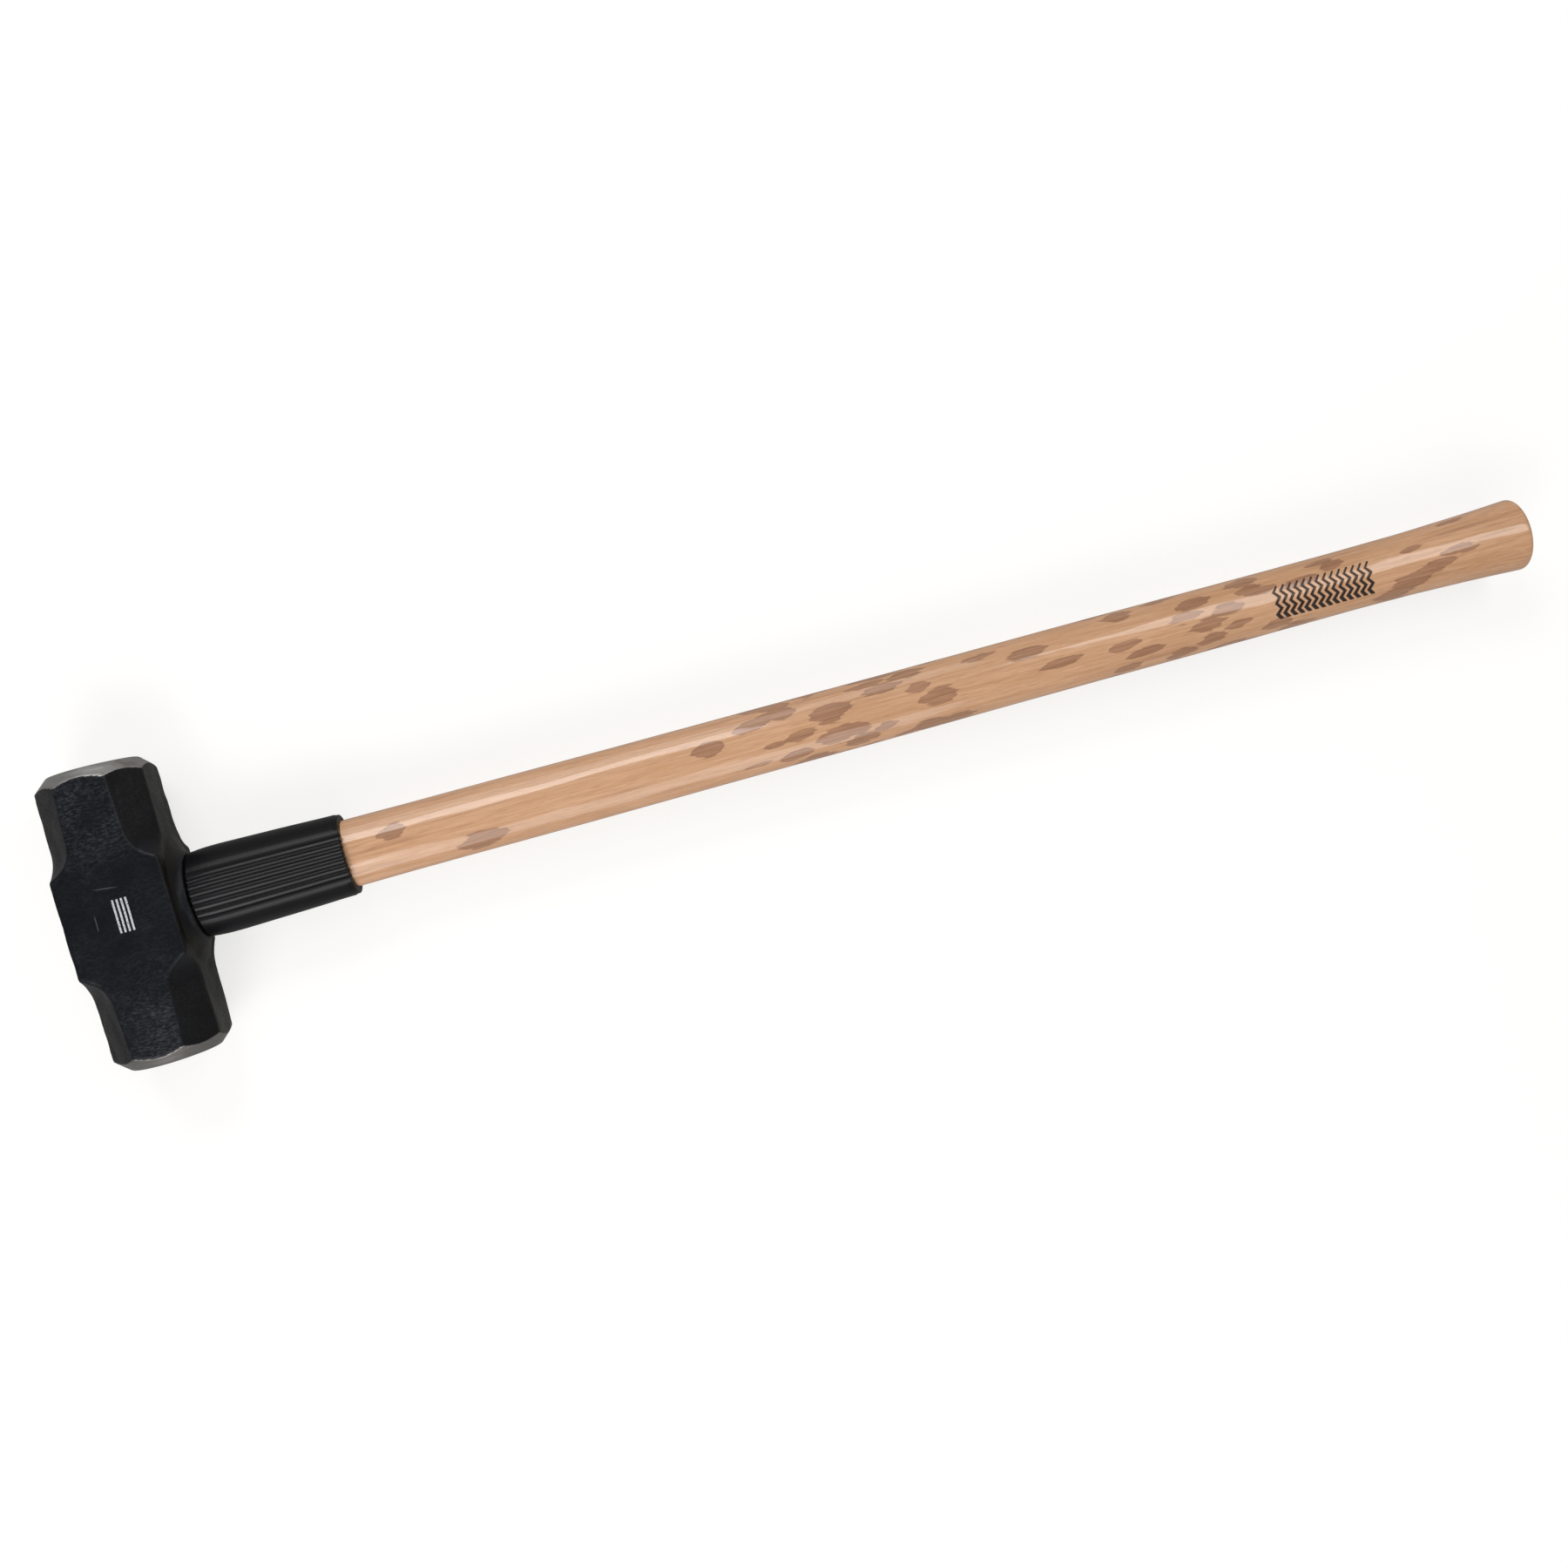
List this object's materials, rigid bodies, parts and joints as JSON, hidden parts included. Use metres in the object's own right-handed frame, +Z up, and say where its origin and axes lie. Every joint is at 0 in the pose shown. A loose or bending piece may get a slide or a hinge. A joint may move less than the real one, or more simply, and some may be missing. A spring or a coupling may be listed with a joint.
{
  "type": "sledgehammer",
  "caption": "Long-handled striking hammer: octagonal steel head with a bevelled face at each end, oval wooden handle, ribbed rubber sleeve below the head.",
  "frame": {"origin": "centre of the lower cheek, straight under the centre of the eye; the hammer lies on this cheek", "axes": "+X along the handle from the eye to the butt, +Y along the striking axis, +Z up through the cheeks"},
  "size_m": [0.895, 0.1736, 0.061],
  "materials": {
    "head_paint": "satin",
    "handle_wood": "gloss",
    "wedge_wood": "matte",
    "wedge_steel": "satin",
    "sleeve_rubber": "satin"
  },
  "bodies": {
    "root": {"head": "head_paint", "handle": "handle_wood", "wooden_wedge": "wedge_wood", "steel_wedges": "wedge_steel", "rubber_sleeve": "sleeve_rubber"}
  },
  "joints": []
}
